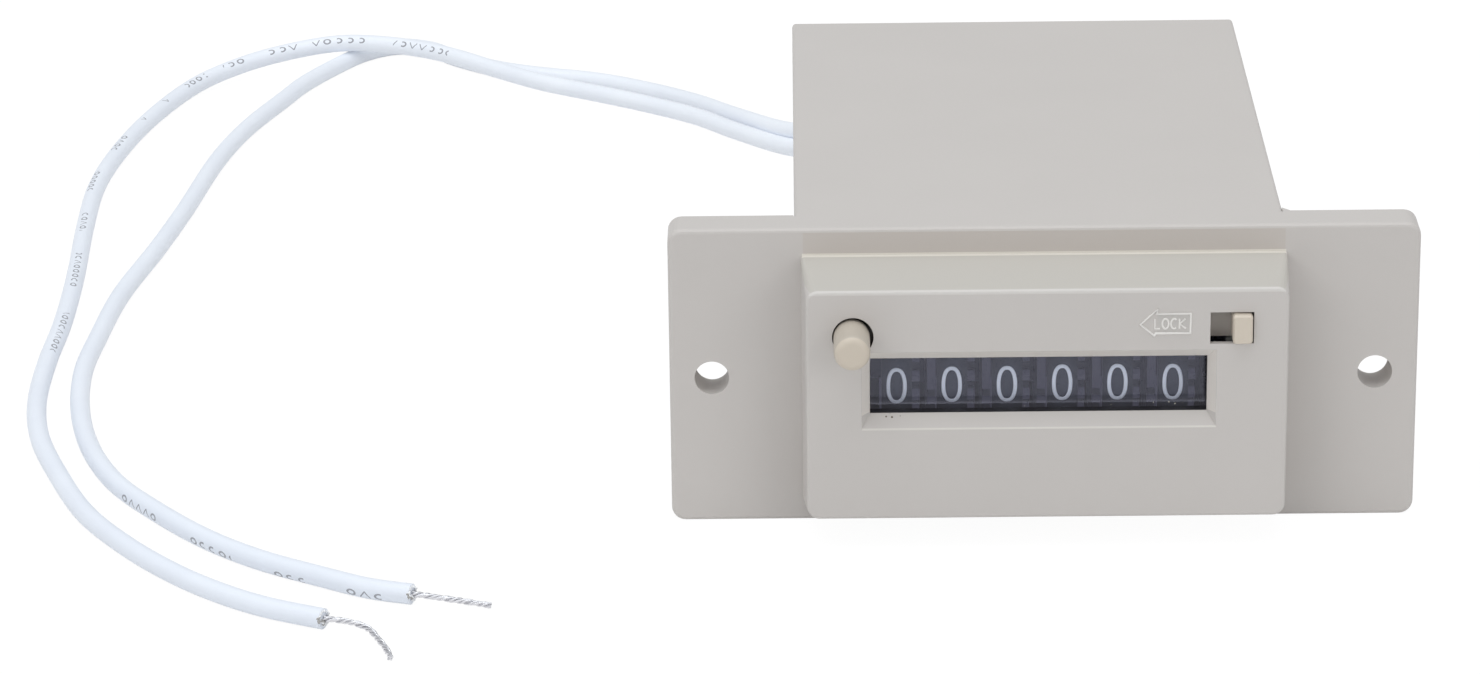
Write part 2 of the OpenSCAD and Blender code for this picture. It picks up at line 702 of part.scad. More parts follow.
// Heart cam, lowest where the hammer strikes at zero
module heart_cam() {
    polygon([for (i = [0:23]) let (a = 15 * i, rise = 1 - abs(a - 180) / 180)
        at_angle(cam_min_r + (cam_max_r - cam_min_r) * rise, a - 90)]);
}

// Locking disc with two carry teeth between three notches
module lock_disc() {
    difference() {
        circle(lock_disc_r, $fn = 72);
        for (k = [-1:1]) rotate(carry_angle + 9 + 180 + 18 * k) translate([lock_disc_r, 0])
            square([2.6, 0.9], center = true);
    }
}

module number_wheel(n) {
    x = cell_x + (n - 1) * wheel_pitch;
    hub_to = n == wheels ? bail_right - arm_t - 0.1 : x + hub_end;
    color(drum_grey) translate([0, 0, wheel_z]) difference() {
        union() {
            translate([x + rim_x, 0, 0]) rotate([0, 90, 0]) difference() {
                cylinder(d = wheel_d, h = rim_w, $fn = 96);
                translate([0, 0, -cut]) cylinder(d = wheel_d - 2 * rim_wall, h = rim_w - rim_wall + cut, $fn = 96);
            }
            rod_x(x + side_gap / 2, hub_to - x - side_gap / 2, hub_d, 0, 0);
            across(x + gear_x - eps, gear_w + eps)
                polygon(gear_outline(gear_teeth, gear_tip_r, gear_root_r, carry_angle + 9));
            across(x + cam_x - eps, cam_w + eps) heart_cam();
            if (n > 1) across(x + side_gap, disc_w) lock_disc();
        }
        rod_x(x - cut, hub_to - x + 2 * cut, wheel_shaft_d + 2 * run_clear, 0, 0);
    }
}

module drive_ratchet() {
    color(white_plastic) translate([0, 0, wheel_z]) difference() {
        across(ratchet_x, ratchet_w) polygon([for (k = [0:ratchet_teeth - 1])
            let (a = 360 * k / ratchet_teeth)
            each [at_angle(ratchet_tip_r, a - 3), at_angle(ratchet_tip_r, a + 3),
                at_angle(ratchet_root_r, a + 15), at_angle(ratchet_root_r, a + 21)]]);
        rod_x(ratchet_x - cut, ratchet_w + 2 * cut, hub_d, 0, 0);
    }
}

// Carry pinions

module pinion_shaft() {
    color(steel) rod_x(bail_left, bail_right - bail_left, pinion_shaft_d, pinion_y, pinion_z);
}

// Eight teeth; every second one stops short of the locking disc, and the others are lower there
module carry_pinion(n) {
    x = cell_x + (n - 1) * wheel_pitch + gear_x + side_gap;
    width = wheel_pitch - rim_w - 2 * side_gap;
    teeth_w = gear_w - side_gap + 0.1;
    color(white_plastic) difference() {
        union() {
            translate([0, pinion_y, pinion_z]) {
                across(x, teeth_w)
                    polygon(gear_outline(pinion_teeth, pinion_tip_r, pinion_root_r, carry_angle + 180));
                across(x + teeth_w - eps, width - teeth_w + eps) intersection() {
                    polygon(gear_outline(pinion_teeth, pinion_tip_r, pinion_root_r, carry_angle + 180));
                    circle(pinion_lock_r);
                    union() {
                        circle(pinion_root_r + 0.05);
                        for (k = [0:3]) rotate(carry_angle + 45 + 90 * k) square([8, 1.6], center = true);
                    }
                }
            }
        }
        rod_x(x - cut, width + 2 * cut, pinion_shaft_d + 2 * run_clear, pinion_y, pinion_z);
    }
}

// Reset bail: carries the pinions and the six hammers

module bail_shaft() {
    color(steel) rod_x(cheek_left, cheek_span, bail_shaft_d, bail_y, bail_z);
}

module bail_arm() {
    difference() {
        union() {
            translate([bail_y, bail_z]) circle(d = bail_tube_d);
            translate([pinion_y, pinion_z]) circle(1.3);
            polygon([[bail_y - 1.8, bail_z + 0.5], [bail_y + 1.8, bail_z + 0.5], [bail_y + 0.1, wheel_z - 2],
                [pinion_y + 2.15, pinion_z + 0.75], [pinion_y - 0.3, pinion_z + 1.25],
                [pinion_y - 1.1, pinion_z - 0.7]]);
        }
        translate([pinion_y, pinion_z]) circle(d = pinion_shaft_d);
    }
}

// A hammer, drawn in the struck position and swung back
module hammer() {
    translate([bail_y, bail_z]) rotate(bail_swing) translate([-bail_y, -bail_z])
        polygon([[bail_y - 0.6, bail_z - 1.7], [bail_y - 0.4, bail_z + 1.7], [bail_y - 7.3, bail_z + 4.4],
            [2.6, hammer_z - 2.55], [1.4, hammer_z], [-1.4, hammer_z], [-1.9, hammer_z - 2.35],
            [0.4, bail_z + 2], [bail_y - 8.5, bail_z + 1.4]]);
}

module reset_bail() {
    color(steel) difference() {
        union() {
            across(bail_left, arm_t) bail_arm();
            across(bail_right - arm_t, arm_t) bail_arm();
            rod_x(bail_left, bail_right - bail_left, bail_tube_d, bail_y, bail_z);
            for (n = [1:wheels]) across(cell_x + (n - 1) * wheel_pitch + hammer_x, hammer_t) hammer();
            across(bail_left, arm_t) polygon([[stem_end_y + 0.3, button_z - 2.95], [bail_y - 0.5, wheel_z],
                [stem_end_y + 1.8, button_z + 0.9], [stem_end_y + 0.3, button_z + 0.9]]);
            across(stem_x - 0.9, bail_left - stem_x + 0.9 + eps) translate([stem_end_y + 0.3, button_z - 0.9])
                square([1.2, 1.8]);
        }
        rod_x(bail_left - cut, bail_right - bail_left + 2 * cut, bail_shaft_d + 2 * run_clear, bail_y, bail_z);
    }
}

// Electromagnet

module coil_bobbin() {
    color(white_plastic) difference() {
        union() {
            rod_y(coil_y, bobbin_wall, bobbin_d, coil_x, coil_z);
            rod_y(coil_end_y - bobbin_wall, bobbin_wall, bobbin_d, coil_x, coil_z);
            rod_y(coil_y, bobbin_l, core_d + 0.1 + 2 * bobbin_wall, coil_x, coil_z);
            block([lead_x - 2, coil_end_y - bobbin_wall, lead_z[0] - 2],
                [coil_x - 6, coil_end_y, lead_z[1] + 2]);
        }
        rod_y(coil_y - cut, bobbin_l + 2 * cut, core_d + 0.1, coil_x, coil_z);
        for (z = lead_z) rod_y(coil_end_y - bobbin_wall - cut, bobbin_wall + 2 * cut, pin_d, lead_x, z);
    }
}

module coil_winding() {
    color(copper) difference() {
        rod_y(coil_y + bobbin_wall, bobbin_l - 2 * bobbin_wall, winding_d, coil_x, coil_z);
        rod_y(coil_y, bobbin_l, core_d + 0.1 + 2 * bobbin_wall, coil_x, coil_z);
    }
}

module pole_core() {
    color(steel) {
        rod_y(coil_y - pole_head_t, pole_head_t, pole_head_d, coil_x, coil_z);
        rod_y(coil_y - eps, bobbin_l + yoke_t + eps, core_d, coil_x, coil_z);
    }
}

module yoke_ear() {
    difference() {
        union() {
            translate([hinge_y, hinge_z]) circle(d = armature_pin_d + 2);
            polygon([[hinge_y, hinge_z - 1.8], [hinge_y, hinge_z + 1.8], [hinge_y + 3, floor_top + yoke_t],
                [hinge_y + ear_foot, floor_top + yoke_t], [hinge_y + ear_foot, floor_top],
                [hinge_y + 1, floor_top]]);
        }
        translate([hinge_y, hinge_z]) circle(d = armature_pin_d);
    }
}

module yoke() {
    left = coil_x - yoke_w / 2;
    color(steel) difference() {
        union() {
            block([left, hinge_y + 3, floor_top], [left + yoke_w, coil_end_y + yoke_t, floor_top + yoke_t]);
            block([left, coil_end_y, floor_top], [left + yoke_w, coil_end_y + yoke_t, coil_z + 7]);
            block([left - ear_t - 0.1, hinge_y + 3, floor_top],
                [left + yoke_w + ear_t + 0.1, hinge_y + ear_foot, floor_top + yoke_t]);
            across(left - ear_t - 0.1, ear_t) yoke_ear();
            across(left + yoke_w + 0.1, ear_t) yoke_ear();
        }
        rod_y(coil_end_y - cut, yoke_t + 2 * cut, core_d, coil_x, coil_z);
        for (y = yoke_screw_y) translate([coil_x, y, floor_top - cut])
            cylinder(d = frame_screw_d, h = yoke_t + 2 * cut);
    }
}

module yoke_screws() {
    color(steel) for (y = yoke_screw_y) translate([coil_x, y, floor_z])
        cylinder(d = frame_screw_d, h = cheek_t + yoke_t);
}

module armature_pin() {
    left = coil_x - yoke_w / 2 - ear_t - 0.1;
    color(steel) rod_x(left, yoke_w + 2 * ear_t + 0.2, armature_pin_d, hinge_y, hinge_z);
}

module armature() {
    left = coil_x - yoke_w / 2 + 0.1;
    right = coil_x + yoke_w / 2 - 0.1;
    color(steel) difference() {
        union() {
            block([left, armature_y, hinge_z], [right, armature_y + armature_t, coil_z + armature_rise]);
            rod_x(left, right - left, 2 * hinge_r, hinge_y, hinge_z);
            block([right - 2, armature_y, tenon_z - 0.9], [ratchet_x, armature_y + armature_t, tenon_z + 2.5]);
            block([ratchet_x - 1, armature_y, tenon_z],
                [ratchet_x + fork_t, armature_y + armature_t, tenon_z + tenon]);
        }
        rod_x(left - cut, yoke_w + 2 * cut, armature_pin_d + 2 * run_clear, hinge_y, hinge_z);
    }
}

// Forked lever whose two pallets stand above and below the ratchet
module pallet_fork() {
    upper = [0, wheel_z] + at_angle(ratchet_tip_r + 0.15, upper_pallet);
    lower = [0, wheel_z] + at_angle(ratchet_tip_r + 0.85, lower_pallet);
    out_y = ratchet_tip_r + 2;
    tail_y = armature_y + 3.5;
    color(white_plastic) across(ratchet_x, fork_t) difference() {
        polygon([upper, upper + [0.5, 0.35], [out_y + 0.2, wheel_z + 1], [bail_y - 0.5, wheel_z + 0.4],
            [armature_y - 2, fork_top], [tail_y, fork_top], [tail_y, fork_low], [tail_y - 9.5, fork_low + 0.6],
            [bail_y - 1.5, fork_low + 1], [out_y, fork_low + 0.6], lower - [-0.6, 0.9], lower,
            [out_y - 0.6, wheel_z - 4.4], [out_y + 0.4, wheel_z - 1]]);
        translate([0, wheel_z]) circle(ratchet_tip_r + 0.15);
        translate([armature_y, tenon_z]) square([armature_t, tenon]);
    }
}

module armature_spring() {
    z = floor_top;
    color(steel) translate([ratchet_x + fork_t / 2, spring_y, z]) coil_spring(2, 0.3, fork_low + 0.7 - z, 9);
}

// Leads

module terminal_pins() {
    color(tin) for (z = lead_z)
        rod_y(coil_end_y - bobbin_wall - 1, lead_start_y - coil_end_y + bobbin_wall + 1, pin_d, lead_x, z);
}

module lead_wire(route) {
    color(insulation) tube(spline(route), lead_d);
}

module bare_end(route) {
    color(tin) tube(spline(route), bare_d);
}

front_frame();
rear_cover();
window_lens();
reset_button();
reset_spring();
lock_slide();
mechanism_frame();
frame_screws();
wheel_shaft();
number_wheel(1);  // number_wheel_1
number_wheel(2);  // number_wheel_2
number_wheel(3);  // number_wheel_3
number_wheel(4);  // number_wheel_4
number_wheel(5);  // number_wheel_5
number_wheel(6);  // number_wheel_6
drive_ratchet();
pinion_shaft();
carry_pinion(1);  // carry_pinion_1
carry_pinion(2);  // carry_pinion_2
carry_pinion(3);  // carry_pinion_3
carry_pinion(4);  // carry_pinion_4
carry_pinion(5);  // carry_pinion_5
bail_shaft();
reset_bail();
coil_bobbin();
coil_winding();
pole_core();
yoke();
yoke_screws();
armature();
armature_pin();
pallet_fork();
armature_spring();
terminal_pins();
lead_wire(route_1);  // lead_wire_1
lead_wire(route_2);  // lead_wire_2
bare_end(bare_route_1);  // bare_end_1
bare_end(bare_route_2);  // bare_end_2
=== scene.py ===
"""Looks of an electromagnetic pulse counter with six number wheels and two leads."""

import json
import math

import bpy
from mathutils import Matrix, Vector


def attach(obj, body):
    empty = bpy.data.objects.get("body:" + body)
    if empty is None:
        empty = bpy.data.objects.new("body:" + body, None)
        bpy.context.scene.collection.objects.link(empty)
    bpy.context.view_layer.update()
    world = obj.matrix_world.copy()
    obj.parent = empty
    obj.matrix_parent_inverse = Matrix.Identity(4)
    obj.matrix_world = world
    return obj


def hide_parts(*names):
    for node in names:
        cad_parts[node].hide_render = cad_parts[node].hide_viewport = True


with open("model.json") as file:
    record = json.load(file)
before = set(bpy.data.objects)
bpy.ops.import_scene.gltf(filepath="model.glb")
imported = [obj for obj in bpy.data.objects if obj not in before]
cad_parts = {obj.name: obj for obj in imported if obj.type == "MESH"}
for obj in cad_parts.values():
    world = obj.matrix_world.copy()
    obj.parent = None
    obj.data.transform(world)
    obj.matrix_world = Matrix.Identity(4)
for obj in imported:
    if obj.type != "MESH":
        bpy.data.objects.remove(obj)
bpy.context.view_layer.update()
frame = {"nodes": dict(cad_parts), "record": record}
MM = 0.001

# Row of number wheels

WHEELS = 6
DIGITS_ROUND = 10
DRUM_RADIUS = 8.4 * MM
WHEEL_HEIGHT = 16 * MM
FIRST_DIGIT = -14.8 * MM
DIGIT_PITCH = 5.5 * MM

# Camera

# Its place and its lens in millimetres
CAMERA_PLACE = (-24.89, -519.297, 212.414)
CAMERA_YAW = math.radians(-0.61)
CAMERA_PITCH = math.radians(20.501)
CAMERA_ROLL = math.radians(-0.766)
CAMERA_LENS = 133.567
CAMERA_FILM = 36


def place_camera():
    """The camera stands in front of the counter, above it and a little to the left."""
    cos_y, sin_y = math.cos(CAMERA_YAW), math.sin(CAMERA_YAW)
    cos_p, sin_p = math.cos(CAMERA_PITCH), math.sin(CAMERA_PITCH)
    ahead = Vector((sin_y * cos_p, cos_y * cos_p, -sin_p))
    level = Vector((cos_y, -sin_y, 0))
    upright = level.cross(ahead)
    cos_r, sin_r = math.cos(CAMERA_ROLL), math.sin(CAMERA_ROLL)
    right = cos_r * level + sin_r * upright
    up = cos_r * upright - sin_r * level
    turn = Matrix((right, up, -ahead)).transposed().to_4x4()
    data = bpy.data.cameras.new("camera")
    data.lens = CAMERA_LENS
    data.sensor_width = CAMERA_FILM
    data.clip_start = 0.01
    data.clip_end = 20
    camera = bpy.data.objects.new("camera", data)
    camera.matrix_world = Matrix.Translation(Vector(CAMERA_PLACE) * MM) @ turn
    bpy.context.scene.collection.objects.link(camera)
    bpy.context.scene.camera = camera


# Node networks


class Term:
    """A socket in a node tree. Python's arithmetic on it adds Math nodes."""

    def __init__(self, net, socket):
        self.net = net
        self.socket = socket

    def __add__(self, other):
        return self.net.maths("ADD", self, other)

    def __sub__(self, other):
        return self.net.maths("SUBTRACT", self, other)

    def __mul__(self, other):
        return self.net.maths("MULTIPLY", self, other)

    def __truediv__(self, other):
        return self.net.maths("DIVIDE", self, other)

    def __mod__(self, other):
        return self.net.maths("FLOORED_MODULO", self, other)

    def __lt__(self, other):
        return self.net.maths("LESS_THAN", self, other)

    def __gt__(self, other):
        return self.net.maths("GREATER_THAN", self, other)

    def __radd__(self, other):
        return self.net.maths("ADD", other, self)

    def __rsub__(self, other):
        return self.net.maths("SUBTRACT", other, self)

    def __rmul__(self, other):
        return self.net.maths("MULTIPLY", other, self)


class Network:
    """A node tree that is written as calls, one for each node."""

    def __init__(self, tree):
        self.tree = tree

    def feed(self, socket, value):
        if isinstance(value, Term):
            self.tree.links.new(value.socket, socket)
        elif value is not None:
            socket.default_value = value

    def node(self, kind, sockets=None, out=0, **settings):
        """Adds a node: its settings first, then the values or links of its sockets."""
        made = self.tree.nodes.new(kind)
        for name, value in settings.items():
            setattr(made, name, value)
        for key, value in (sockets or {}).items():
            self.feed(made.inputs[key], value)
        return Term(self, made.outputs[out]) if made.outputs else None

    def maths(self, operation, first, second=None):
        return self.node("ShaderNodeMath", {0: first, 1: second}, operation=operation)

    def near(self, first, second, reach):
        """1 where two values differ by no more than a reach, and 0 elsewhere."""
        return self.node("ShaderNodeMath", {0: first, 1: second, 2: reach}, operation="COMPARE")

    def vector(self, operation, first, second=None):
        return self.node("ShaderNodeVectorMath", {0: first, 1: second}, operation=operation)

    def parts(self, place):
        """The three numbers of a vector."""
        split = self.tree.nodes.new("ShaderNodeSeparateXYZ")
        self.feed(split.inputs[0], place)
        return [Term(self, out) for out in split.outputs]

    def mix(self, factor, first, second):
        return self.node("ShaderNodeMix", {0: factor, 6: first, 7: second}, out=2, data_type="RGBA")

    def noise(self, place, scale, detail):
        return self.node("ShaderNodeTexNoise", {"Vector": place, "Scale": scale, "Detail": detail})


def colour(red, green, blue):
    """A colour as it shows on a screen, 0 to 255, in the linear values that shaders use."""
    shown = [value / 255 for value in (red, green, blue)]
    linear = [v / 12.92 if v <= 0.04045 else ((v + 0.055) / 1.055) ** 2.4 for v in shown]
    return (*linear, 1.0)


class Finish(Network):
    """A material with one Principled shader, whose sockets are given by name."""

    def __init__(self, name, **constants):
        self.material = bpy.data.materials.new(name)
        self.material.use_nodes = True
        super().__init__(self.material.node_tree)
        self.tree.nodes.clear()
        self.shader = self.tree.nodes.new("ShaderNodeBsdfPrincipled")
        self.output = self.tree.nodes.new("ShaderNodeOutputMaterial")
        self.tree.links.new(self.shader.outputs[0], self.output.inputs[0])
        for key, value in constants.items():
            self.set(key.replace("_", " "), value)

    def set(self, socket, value):
        self.feed(self.shader.inputs[socket], value)

    def place(self):
        return self.node("ShaderNodeTexCoord", out=3)

    def attribute(self, name, out=2):
        """A number that the mesh's points carry, or a vector where out is 1."""
        return self.node("ShaderNodeAttribute", out=out, attribute_name=name)

    def inside(self, place, low, high):
        """1 inside a box given in millimetres and 0 outside it. None leaves a side open."""
        mask = 1.0
        for value, least, most in zip(self.parts(place), low, high):
            if least is not None:
                mask = mask * (value > least * MM)
            if most is not None:
                mask = mask * (value < most * MM)
        return mask

    def relief(self, height, depth, strength):
        """Raises the surface by a height from 0 to 1, times a depth in metres."""
        bump = self.node("ShaderNodeBump", {"Height": height, "Distance": depth, "Strength": strength})
        self.set("Normal", bump)

    def shades(self, low, high, factor):
        self.set("Base Color", self.mix(factor, low, high))


# Finishes

# Noise scales are in cycles a metre
CLOUD_SCALE = 70
GRAIN_SCALE = 2600
GRAIN_DEPTH = 0.02 * MM
ROUGHNESS_SPAN = 0.12


def lighter(tone, step):
    return colour(*[value + step for value in tone])


def moulded(name, tone, rough, spread, patches=()):
    """Moulded plastic: a tone that varies by a small spread, with a fine matte grain.

    Each patch is a box in millimetres, with a colour painted over the plastic in it, most often painted
    light or shade."""
    finish = Finish(name)
    place = finish.place()
    cloud = finish.noise(place, CLOUD_SCALE, 3)
    tones = finish.mix(cloud, lighter(tone, -spread), lighter(tone, spread))
    for low, high, patch_tone in patches:
        tones = finish.mix(finish.inside(place, low, high), tones, colour(*patch_tone))
    finish.set("Base Color", tones)
    fine = finish.noise(place, GRAIN_SCALE, 2)
    finish.set("Roughness", rough - ROUGHNESS_SPAN / 2 + ROUGHNESS_SPAN * fine)
    finish.relief(fine, GRAIN_DEPTH, 0.35)
    return finish.material


def plated(name, tone, rough):
    """Plated steel with fine scratches drawn out along the depth of the counter."""
    finish = Finish(name, Metallic=1.0)
    drawn = finish.vector("MULTIPLY", finish.place(), (4000, 350, 4000))
    streak = finish.noise(drawn, 1.0, 2)
    finish.shades(lighter(tone, -14), colour(*tone), streak)
    finish.set("Roughness", rough + ROUGHNESS_SPAN * streak)
    return finish.material


# Reaches from the wheels' axis, within which the hollow between the rims and its gear teeth lie
BELOW_RIM = 8.3 * MM
TEETH_FROM = 6.2 * MM
# How far to the right of each digit the rim is palest
PALE_SHIFT = 0.2 * MM
RIM_DARK = (27, 27, 38)
RIM_PALE = (45, 50, 64)
HOLLOW_TONE = (27, 27, 36)
# Painted glow, given as emission, in the shaded hollow between the rims, and a painted highlight on the
# gear teeth in it
HOLLOW_PAINTED_GLOW = (22, 22, 28)
TEETH_PAINTED_HIGHLIGHT = (48, 48, 60)


def drum_plastic():
    """Dark blue grey plastic, paler and bluer behind the digits, with a painted glow in the shaded hollow
    between the rims and a painted highlight on the gear teeth there.
    """
    finish = Finish("drum_plastic", Specular_IOR_Level=0.25, Emission_Strength=1, Roughness=0.5)
    across, deep, high = finish.parts(finish.place())
    rise = high - WHEEL_HEIGHT
    reach = finish.maths("SQRT", deep * deep + rise * rise)
    below = reach < BELOW_RIM
    teeth = below * (reach > TEETH_FROM)
    wave = finish.maths("COSINE", (across - FIRST_DIGIT - PALE_SHIFT) * (2 * math.pi / DIGIT_PITCH))
    behind = finish.maths("POWER", wave * 0.5 + 0.5, 2.0)
    rim = finish.mix(behind, colour(*RIM_DARK), colour(*RIM_PALE))
    finish.set("Base Color", finish.mix(below, rim, colour(*HOLLOW_TONE)))
    # Painted glow in the hollow and a painted highlight on the gear teeth, both as emission
    hollow = finish.mix(below, colour(0, 0, 0), colour(*HOLLOW_PAINTED_GLOW))
    finish.set("Emission Color", finish.mix(teeth, hollow, colour(*TEETH_PAINTED_HIGHLIGHT)))
    return finish.material


# Where each lead carries groups of printed signs, in millimetres from the coil
LEAD_SIGNS = {
    "lead_wire_1": [(107.2, 116), (119.8, 127), (129, 133.2), (136.2, 139.8), (143, 147.6),
                    (153.3, 154.1), (160.7, 161.5), (168, 173.5), (181, 188.2), (196.2, 202.8),
                    (210.5, 222), (230, 242)],
    "lead_wire_2": [(283.2, 290.8), (297, 303.3), (308.6, 313), (318, 322.2)],
}
# Sizes of the signs along the lead, in millimetres, and how many times a sign's height goes into the ring
SIGN_PITCH = 1.5
SIGN_WIDTH = 1.15
SIGN_SQUEEZE = 2.6
# Shares of the signs that stay whole rings, and that are rings or hooks
WHOLE_SHARE = 0.4
ROUND_SHARE = 0.7
# A ring's radius and half of its line, where a hook's gap begins, and a wedge's slope, top and half line
RING_RADIUS = 0.72
RING_LINE = 0.2
HOOK_GAP = 0.35
WEDGE_SLOPE = 1.9
WEDGE_TOP = 0.9
WEDGE_LINE = 0.28
INK = (118, 118, 124)
INK_COVER = 0.8
# Painted shade along the sleeve: its tone darkens from the coil to this far along it, in millimetres
SLEEVE_SHADE_REACH = 300


def printed_sign(finish, along):
    """1 on the ink of a row of small signs along a lead, where along is in millimetres.

    A sign fills -1 to 1 both ways. Some are rings, some are hooks with a gap, some are wedges."""
    turn = finish.attribute("turn") * (2 * math.pi)
    side, down, _ = finish.parts(finish.attribute("ring", out=1))
    cosine = finish.maths("COSINE", turn)
    sine = finish.maths("SINE", turn)
    facing = side * sine - down * cosine
    cell = finish.maths("FLOOR", along / SIGN_PITCH)
    chance = finish.node("ShaderNodeTexWhiteNoise", {"W": cell}, noise_dimensions="1D")
    across = (along % SIGN_PITCH) * (2 / SIGN_WIDTH) - 1.0
    up = (side * cosine + down * sine) * SIGN_SQUEEZE
    reach = finish.maths("SQRT", across * across + up * up)
    ring = finish.near(reach, RING_RADIUS, RING_LINE)
    hook = ring * (1 - (across > HOOK_GAP) * (chance > WHOLE_SHARE))
    slope = finish.maths("ABSOLUTE", across) * WEDGE_SLOPE - WEDGE_TOP
    wedge = finish.near(slope, up, WEDGE_LINE)
    sign = finish.maths("MAXIMUM", hook * (chance < ROUND_SHARE), wedge * (chance > ROUND_SHARE))
    return sign * (facing > 0) * (across < 1.0) * (finish.maths("ABSOLUTE", up) < 0.95)


def insulation(name, groups):
    """White lead insulation with groups of small grey rings, hooks and wedges printed along it, a faint
    painted glow, and painted shade that darkens it towards the stripped end.
    """
    # A faint bluish white painted glow, which lightens the shaded side of the sleeve
    finish = Finish(name, IOR=1.48, Emission_Color=(0.86, 0.92, 1, 1), Emission_Strength=0.04)
    along = finish.attribute("along") / MM
    sign = printed_sign(finish, along)
    inked = 0.0
    for start, end in groups:
        inked = inked + (along > start) * (along < end)
    soft = finish.noise(finish.place(), 160, 3)
    # Painted shade: paler near the coil, darker towards the stripped end
    far = finish.mix(soft, colour(232, 236, 244), colour(241, 244, 249))
    near = finish.mix(soft, colour(224, 229, 239), colour(232, 237, 245))
    sleeve = finish.mix(finish.maths("MINIMUM", along / SLEEVE_SHADE_REACH, 1.0), far, near)
    finish.set("Base Color", finish.mix(sign * inked * INK_COVER, sleeve, colour(*INK)))
    finish.set("Roughness", 0.42 + 0.14 * soft)
    ripple = finish.noise(finish.place(), 420, 2)
    finish.relief(ripple, 0.06 * MM, 0.4)
    return finish.material


WINDING_PITCH = 0.4 * MM


def winding_copper():
    """Enamelled copper wire, wound in close turns along the coil."""
    finish = Finish("winding_copper", Metallic=1.0, Roughness=0.28, Coat_Weight=0.5)
    _, deep, _ = finish.parts(finish.place())
    tone = finish.noise(finish.place(), 500, 2)
    finish.shades(colour(132, 62, 30), colour(190, 104, 62), tone)
    turn = finish.maths("SINE", deep * (2 * math.pi / WINDING_PITCH))
    finish.relief(turn * 0.5 + 0.5, 0.12 * MM, 0.8)
    return finish.material


# The height at which the painted glow along the lens's lower edge begins, and how far down it grows to its
# full strength
LOWER_GLOW_TOP = 14.95 * MM
LOWER_GLOW_FADE = 0.25 * MM
LENS_MIRROR = 0.036
LOWER_GLOW_MIRROR = 0.04


def clear_lens():
    """Clear plastic that mirrors a little light, with a painted glow and more mirror along its lower edge,
    which lighten the shaded bottom of the window.
    """
    finish = Finish("clear_lens", Roughness=0.03, Metallic=1.0, Emission_Strength=1)
    finish.set("Base Color", (0.8, 0.82, 1.0, 1.0))
    _, _, high = finish.parts(finish.place())
    # Painted glow and more mirror along the lower edge, which lighten the shaded bottom of the wheels
    # behind the lens
    lower_glow = finish.maths("MAXIMUM", (LOWER_GLOW_TOP - high) / LOWER_GLOW_FADE, 0.0)
    lower_glow = finish.maths("MINIMUM", lower_glow, 1.0)
    finish.set("Alpha", LENS_MIRROR + LOWER_GLOW_MIRROR * lower_glow)
    finish.set("Emission Color", finish.mix(lower_glow, (0, 0, 0, 1), (0.15, 0.15, 0.17, 1)))
    return finish.material


# Tones that differ from the rest of the case, in boxes in millimetres, most of them painted light and shade
CASE_PATCHES = [
    # Painted shade on the flange above the bezel, a painted highlight on the line where they meet, painted
    # shade on the slope of the bezel's top and a painted highlight on its edge
    ((-24, -4.3, 28.55), (24, -4, 30.8), (197, 190, 184)),
    ((-24.1, -4.6, 28.1), (24.1, -4.15, 28.6), (224, 219, 210)),
    ((-24.3, -11.92, 27.2), (24.3, -4.6, 28.6), (193, 189, 182)),
    ((-23.6, -12.3, 27), (23.6, -11.96, 27.6), (210, 206, 202)),
    # Painted shade in the dark insides of the button's hole and of the slot
    ((-21.4, -12.08, 21.1), (-17.05, -9, 25), (52, 46, 42)),
    ((20.3, -12.05, 21.3), (20.8, -9, 25.2), (52, 46, 42)),
    # Painted light on the window's bevel, a painted highlight on its bright lower edge, and the ledge
    # behind it coloured nearly black
    ((-18.5, -12.15, 14.3), (17.1, -10.97, 21.2), (221, 215, 209)),
    ((-18.3, -12.3, 12.76), (16.8, -11.9, 12.94), (216, 212, 206)),
    ((-17.6, -10.97, 14), (16, -9.7, 20.1), (42, 41, 44)),
    # Painted shade on the sunk field in the arrow
    ((10.8, -12.3, 22.85), (14.05, -12.1, 24.75), (194, 190, 186)),
]
# Painted shade on the strip in the dark behind the slot, on the button's side in the shade of its end, and
# deep painted shade on its foot in the dark; the last box makes the button's end a little darker
CREAM_PATCHES = [
    ((-20, -10.3, 20), (22, -9, 26), (178, 172, 166)),
    ((-22, -16.6, 20), (-16.8, -11.6, 25.2), (190, 181, 168)),
    ((-22, -11.6, 20), (-16.8, -9, 25.2), (60, 52, 46)),
    ((-22, -17.2, 20), (-16.8, -16.6, 25.2), (203, 192, 177)),
]
# Painted shade on the ratchet's teeth, in the dark beside the units wheel
WHITE_PATCHES = [((15.75, None, 7), (16.95, None, None), (46, 46, 52))]


def torn_plastic():
    """Grey and white shreds, as where insulation was cut."""
    finish = Finish("torn_plastic", Roughness=0.6)
    speckle = finish.noise(finish.place(), 1300, 1) > 0.45
    finish.shades(colour(168, 166, 164), colour(240, 241, 243), speckle)
    return finish.material


def dress_nodes(finishes):
    """Gives each node of the frame the finish of its material slot."""
    for row in frame["record"]["subparts"]:
        shown = frame["nodes"][row["node"]]
        finish = finishes[row["material_slot"]]
        if shown.material_slots:
            for held in shown.material_slots:
                held.material = finish
        else:
            shown.data.materials.append(finish)


